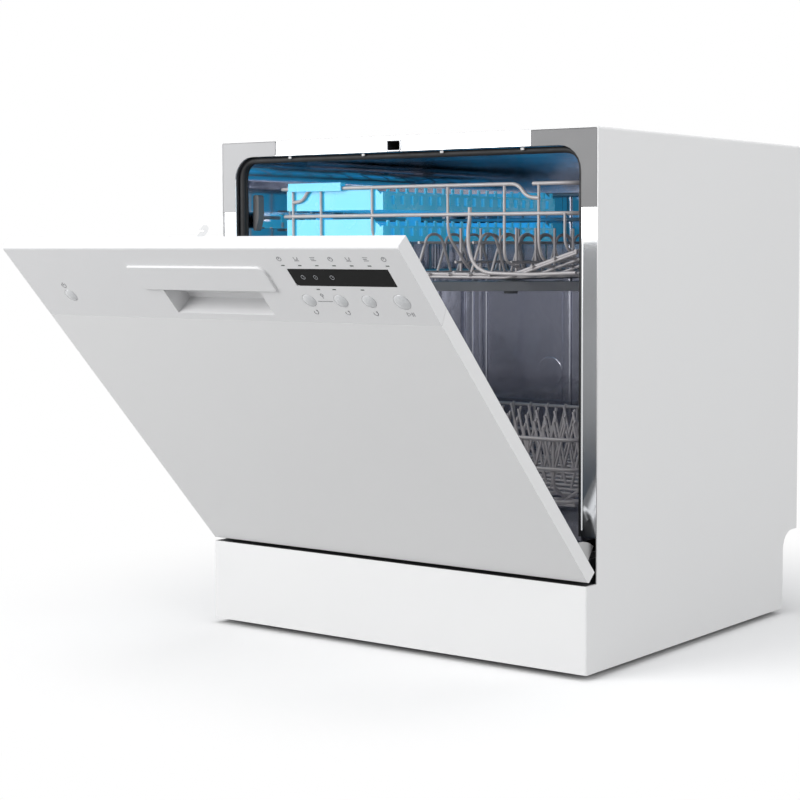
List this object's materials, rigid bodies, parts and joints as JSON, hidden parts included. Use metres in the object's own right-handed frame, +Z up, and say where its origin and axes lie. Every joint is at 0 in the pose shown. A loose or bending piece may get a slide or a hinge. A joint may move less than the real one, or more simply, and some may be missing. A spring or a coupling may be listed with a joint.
{
  "type": "countertop dishwasher",
  "caption": "Compact front-loading countertop dishwasher with a drop-down door, top control console, two wire baskets with cup shelves and two spray arms.",
  "frame": {"origin": "middle of the cabinet's footprint, on the surface that the feet stand on; the open door isn't counted", "axes": "+X to the right seen from the front, +Y to the back, +Z up"},
  "size_m": [0.55, 0.8211, 0.595],
  "materials": {
    "painted_steel": "smooth white enamel",
    "white_plastic": "satin moulded white",
    "stainless": "polished",
    "galvanised": "matt",
    "plate_grey": "satin grey",
    "black_rubber": "matt",
    "black_plastic": "fine grain",
    "grey_plastic": "satin",
    "dark_window": "glossy tinted",
    "circuit_board": "solder mask",
    "coated_wire": "nylon coated",
    "cup_blue": "satin translucent blue",
    "dark_steel": "zinc plated"
  },
  "bodies": {
    "cabinet": {"cabinet_shell": "painted_steel", "kick_plate": "painted_steel", "base_tray": "black_plastic", "rear_panel": "galvanised", "tub_wrapper": "stainless", "tub_back": "stainless", "tub_floor": "stainless", "front_frame": "stainless", "corner_plates": "plate_grey", "door_gasket": "black_rubber", "latch_housing": "black_plastic", "rail_brackets": "grey_plastic", "sump": "grey_plastic", "wash_pump": "black_plastic", "drain_pump": "black_plastic", "water_softener": "grey_plastic", "inlet_valve": "grey_plastic", "cord_gland": "black_plastic", "feed_pipe": "grey_plastic", "feet": "black_rubber", "hinge_brackets": "dark_steel"},
    "door": {"door_panel": "painted_steel", "console": "white_plastic", "door_liner": "stainless", "hinge_arms": "dark_steel", "display_window": "dark_window", "control_board": "circuit_board", "handle_plate": "white_plastic", "dispenser_body": "grey_plastic", "liner_screws": "galvanised"},
    "handle_lever": {"handle_lever": "white_plastic"},
    "latch_hook": {"latch_hook": "galvanised"},
    "power_button": {"power_button": "white_plastic"},
    "option_button_1": {"option_button_1": "white_plastic"},
    "option_button_2": {"option_button_2": "white_plastic"},
    "option_button_3": {"option_button_3": "white_plastic"},
    "start_button": {"start_button": "white_plastic"},
    "dispenser_lid": {"dispenser_lid": "grey_plastic"},
    "rinse_aid_cap": {"rinse_aid_cap": "black_plastic"},
    "upper_basket": {"upper_basket_floor": "coated_wire", "upper_basket_walls": "coated_wire", "upper_tines": "coated_wire", "cup_shelf_upper": "cup_blue", "cup_shelf_lower": "cup_blue", "upper_wheel_clips": "grey_plastic", "arm_conduit": "grey_plastic"},
    "rails": {"rails": "galvanised", "rail_stops": "grey_plastic"},
    "upper_wheels_front": {"upper_wheels_front": "grey_plastic"},
    "upper_wheels_rear": {"upper_wheels_rear": "grey_plastic"},
    "upper_spray_arm": {"upper_spray_arm": "grey_plastic"},
    "lower_basket": {"lower_basket_floor": "coated_wire", "lower_basket_walls": "coated_wire", "lower_tines": "coated_wire", "lower_wheel_clips": "grey_plastic"},
    "lower_wheels_front": {"lower_wheels_front": "grey_plastic"},
    "lower_wheels_rear": {"lower_wheels_rear": "grey_plastic"},
    "lower_spray_arm": {"lower_spray_arm": "grey_plastic"},
    "filter_cup": {"filter_cup": "grey_plastic"},
    "salt_cap": {"salt_cap": "black_plastic"}
  },
  "joints": [
    {"name": "door_hinge", "type": "hinge", "parent": "cabinet", "child": "door", "pos_m": [0, -0.2436, 0.1117], "axis": [1, 0, 0], "range_deg": [-42.1, 47.9]},
    {"name": "handle_pull", "type": "hinge", "parent": "door", "child": "handle_lever", "pos_m": [0, -0.52994, 0.43695], "axis": [-1, 0, 0], "range_deg": [0, 18], "stiffness_Nm_per_rad": 0.4},
    {"name": "latch_turn", "type": "hinge", "parent": "door", "child": "latch_hook", "pos_m": [0, -0.55167, 0.45802], "axis": [-1, 0, 0], "range_deg": [0, 10.8]},
    {"name": "power_button_press", "type": "slide", "parent": "door", "child": "power_button", "axis": [0, 0.742, 0.6704], "range_m": [0, 0.0012], "stiffness_N_per_m": 400},
    {"name": "option_button_1_press", "type": "slide", "parent": "door", "child": "option_button_1", "axis": [0, 0.742, 0.6704], "range_m": [0, 0.0012], "stiffness_N_per_m": 400},
    {"name": "option_button_2_press", "type": "slide", "parent": "door", "child": "option_button_2", "axis": [0, 0.742, 0.6704], "range_m": [0, 0.0012], "stiffness_N_per_m": 400},
    {"name": "option_button_3_press", "type": "slide", "parent": "door", "child": "option_button_3", "axis": [0, 0.742, 0.6704], "range_m": [0, 0.0012], "stiffness_N_per_m": 400},
    {"name": "start_button_press", "type": "slide", "parent": "door", "child": "start_button", "axis": [0, 0.742, 0.6704], "range_m": [0, 0.0012], "stiffness_N_per_m": 400},
    {"name": "dispenser_lid_turn", "type": "hinge", "parent": "door", "child": "dispenser_lid", "pos_m": [0, -0.336, 0.27795], "axis": [-1, 0, 0], "range_deg": [0, 100]},
    {"name": "rinse_aid_cap_turn", "type": "hinge", "parent": "door", "child": "rinse_aid_cap", "pos_m": [0.092, -0.36324, 0.29781], "axis": [0, 0.742, 0.6704], "range_deg": [0, 90]},
    {"name": "upper_basket_slide", "type": "slide", "parent": "cabinet", "child": "upper_basket", "axis": [0, -1, 0], "range_m": [0, 0.27]},
    {"name": "rails_slide", "type": "slide", "parent": "cabinet", "child": "rails", "axis": [0, -1, 0], "range_m": [0, 0.135]},
    {"name": "upper_wheels_front_roll", "type": "hinge", "parent": "upper_basket", "child": "upper_wheels_front", "pos_m": [0, -0.045, 0.5], "axis": [1, 0, 0], "range_deg": [0, 930]},
    {"name": "upper_wheels_rear_roll", "type": "hinge", "parent": "upper_basket", "child": "upper_wheels_rear", "pos_m": [0, 0.14, 0.5], "axis": [1, 0, 0], "range_deg": [0, 930]},
    {"name": "upper_arm_spin", "type": "hinge", "parent": "upper_basket", "child": "upper_spray_arm", "pos_m": [0, 0, 0.4], "axis": [0, 0, 1], "continuous": true},
    {"name": "lower_basket_slide", "type": "slide", "parent": "cabinet", "child": "lower_basket", "axis": [0, -1, 0], "range_m": [0, 0.055]},
    {"name": "lower_wheels_front_roll", "type": "hinge", "parent": "lower_basket", "child": "lower_wheels_front", "pos_m": [0, -0.146, 0.1633], "axis": [1, 0, 0], "range_deg": [0, 215]},
    {"name": "lower_wheels_rear_roll", "type": "hinge", "parent": "lower_basket", "child": "lower_wheels_rear", "pos_m": [0, 0.138, 0.1633], "axis": [1, 0, 0], "range_deg": [0, 215]},
    {"name": "lower_arm_spin", "type": "hinge", "parent": "cabinet", "child": "lower_spray_arm", "pos_m": [0, 0, 0.168], "axis": [0, 0, 1], "continuous": true},
    {"name": "filter_cup_turn", "type": "hinge", "parent": "cabinet", "child": "filter_cup", "pos_m": [-0.07, 0.04, 0.148], "axis": [0, 0, 1], "range_deg": [0, 60]},
    {"name": "salt_cap_turn", "type": "hinge", "parent": "cabinet", "child": "salt_cap", "pos_m": [-0.16, 0.11, 0.152], "axis": [0, 0, 1], "range_deg": [0, 300]}
  ],
  "couplings": [
    {"joint": "latch_turn", "follows": "handle_pull", "ratio": 0.6},
    {"joint": "rails_slide", "follows": "upper_basket_slide", "ratio": 0.5},
    {"joint": "upper_wheels_front_roll", "follows": "upper_basket_slide", "rad_per_m": 59.524},
    {"joint": "upper_wheels_rear_roll", "follows": "upper_basket_slide", "rad_per_m": 59.524},
    {"joint": "lower_wheels_front_roll", "follows": "lower_basket_slide", "rad_per_m": 66.667},
    {"joint": "lower_wheels_rear_roll", "follows": "lower_basket_slide", "rad_per_m": 66.667}
  ]
}
